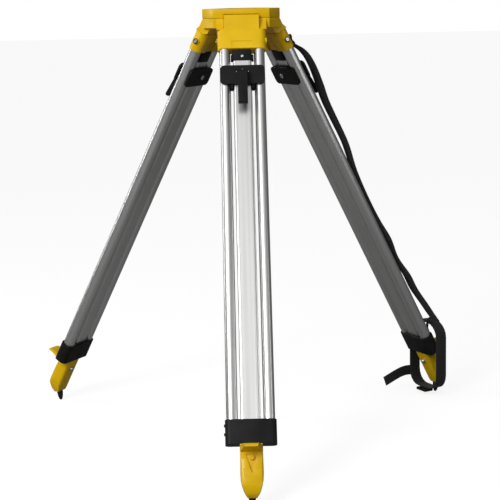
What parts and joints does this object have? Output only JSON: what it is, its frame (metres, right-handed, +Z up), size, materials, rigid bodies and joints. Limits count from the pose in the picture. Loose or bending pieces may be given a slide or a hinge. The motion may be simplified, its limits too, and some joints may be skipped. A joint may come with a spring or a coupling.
{
  "type": "survey tripod",
  "caption": "Flat-head aluminium survey tripod for a laser level: three telescoping legs with lever clamps, pointed shoes with foot steps, a centre screw on a swing arm and a carrying strap.",
  "frame": {"origin": "on the floor, under the middle of the outline of the spread tripod", "axes": "+Z up; the front leg points along -Y, the right leg towards +X and the left leg towards -X"},
  "size_m": [0.9608, 0.8522, 0.9354],
  "materials": {
    "yellow_paint": "semi-gloss yellow paint on cast aluminium",
    "aluminium": "drawn tube, clear anodised",
    "black_plastic": "moulded, fine grain",
    "steel": "zinc plated",
    "dark_steel": "blackened",
    "webbing": "black woven webbing"
  },
  "bodies": {
    "head": {"head_plate": "yellow_paint", "head_frame": "yellow_paint", "arm_pin": "steel"},
    "arm": {"swing_arm": "yellow_paint"},
    "screw": {"centre_screw": "steel", "screw_knob": "black_plastic"},
    "front_leg": {"front_hinge_block": "yellow_paint", "front_hinge_pin": "steel", "front_socket_screw_a": "steel", "front_socket_screw_b": "steel", "front_outer_tube_a": "aluminium", "front_outer_tube_b": "aluminium", "front_collar": "black_plastic"},
    "front_foot": {"front_rail": "aluminium", "front_rail_cap": "black_plastic", "front_clamp_plate": "black_plastic", "front_clamp_back_plate": "black_plastic", "front_clamp_bolt": "steel", "front_shoe": "yellow_paint", "front_shoe_bolt": "steel", "front_spike": "dark_steel"},
    "front_lever": {"front_clamp_lever": "black_plastic"},
    "right_leg": {"right_hinge_block": "yellow_paint", "right_hinge_pin": "steel", "right_socket_screw_a": "steel", "right_socket_screw_b": "steel", "right_outer_tube_a": "aluminium", "right_outer_tube_b": "aluminium", "right_collar": "black_plastic", "carrying_strap": "webbing", "strap_screw": "steel", "strap_keeper": "webbing"},
    "right_foot": {"right_rail": "aluminium", "right_rail_cap": "black_plastic", "right_clamp_plate": "black_plastic", "right_clamp_back_plate": "black_plastic", "right_clamp_bolt": "steel", "right_shoe": "yellow_paint", "right_shoe_bolt": "steel", "right_spike": "dark_steel", "foot_tie_loop": "webbing", "tie_buckle": "black_plastic", "tie_tail": "webbing"},
    "right_lever": {"right_clamp_lever": "black_plastic"},
    "left_leg": {"left_hinge_block": "yellow_paint", "left_hinge_pin": "steel", "left_socket_screw_a": "steel", "left_socket_screw_b": "steel", "left_outer_tube_a": "aluminium", "left_outer_tube_b": "aluminium", "left_collar": "black_plastic"},
    "left_foot": {"left_rail": "aluminium", "left_rail_cap": "black_plastic", "left_clamp_plate": "black_plastic", "left_clamp_back_plate": "black_plastic", "left_clamp_bolt": "steel", "left_shoe": "yellow_paint", "left_shoe_bolt": "steel", "left_spike": "dark_steel"},
    "left_lever": {"left_clamp_lever": "black_plastic"}
  },
  "joints": [
    {"name": "arm_swing", "type": "hinge", "parent": "head", "child": "arm", "pos_m": [0, 0.18073, 0.89186], "axis": [0, 0, 1], "range_deg": [-15, 15]},
    {"name": "screw_spin", "type": "hinge", "parent": "arm", "child": "screw", "pos_m": [0, 0.12073, 0.89536], "axis": [0, 0, 1], "continuous": true},
    {"name": "front_leg_fold", "type": "hinge", "parent": "head", "child": "front_leg", "pos_m": [0, 0.06473, 0.90236], "axis": [1, 0, 0], "range_deg": [0, 28.5]},
    {"name": "front_leg_slide", "type": "slide", "parent": "front_leg", "child": "front_foot", "axis": [0, -0.4756, -0.8796], "range_m": [0, 0.6]},
    {"name": "front_clamp_lever_turn", "type": "hinge", "parent": "front_foot", "child": "front_lever", "pos_m": [0, -0.02553, 0.80565], "axis": [-1, 0, 0], "range_deg": [0, 100]},
    {"name": "right_leg_fold", "type": "hinge", "parent": "head", "child": "right_leg", "pos_m": [0.0485, 0.14873, 0.90236], "axis": [-0.5, 0.866, 0], "range_deg": [0, 28.5], "deforming": ["carrying_strap", "strap_keeper", "foot_tie_loop", "tie_buckle", "tie_tail"]},
    {"name": "right_leg_slide", "type": "slide", "parent": "right_leg", "child": "right_foot", "axis": [0.4119, 0.2378, -0.8796], "range_m": [0, 0.6], "deforming": ["carrying_strap", "strap_keeper", "foot_tie_loop", "tie_buckle", "tie_tail"]},
    {"name": "right_clamp_lever_turn", "type": "hinge", "parent": "right_foot", "child": "right_lever", "pos_m": [0.12666, 0.19386, 0.80565], "axis": [0.5, -0.866, 0], "range_deg": [0, 100]},
    {"name": "left_leg_fold", "type": "hinge", "parent": "head", "child": "left_leg", "pos_m": [-0.0485, 0.14873, 0.90236], "axis": [-0.5, -0.866, 0], "range_deg": [0, 28.5]},
    {"name": "left_leg_slide", "type": "slide", "parent": "left_leg", "child": "left_foot", "axis": [-0.4119, 0.2378, -0.8796], "range_m": [0, 0.6]},
    {"name": "left_clamp_lever_turn", "type": "hinge", "parent": "left_foot", "child": "left_lever", "pos_m": [-0.12666, 0.19386, 0.80565], "axis": [0.5, 0.866, 0], "range_deg": [0, 100]}
  ]
}
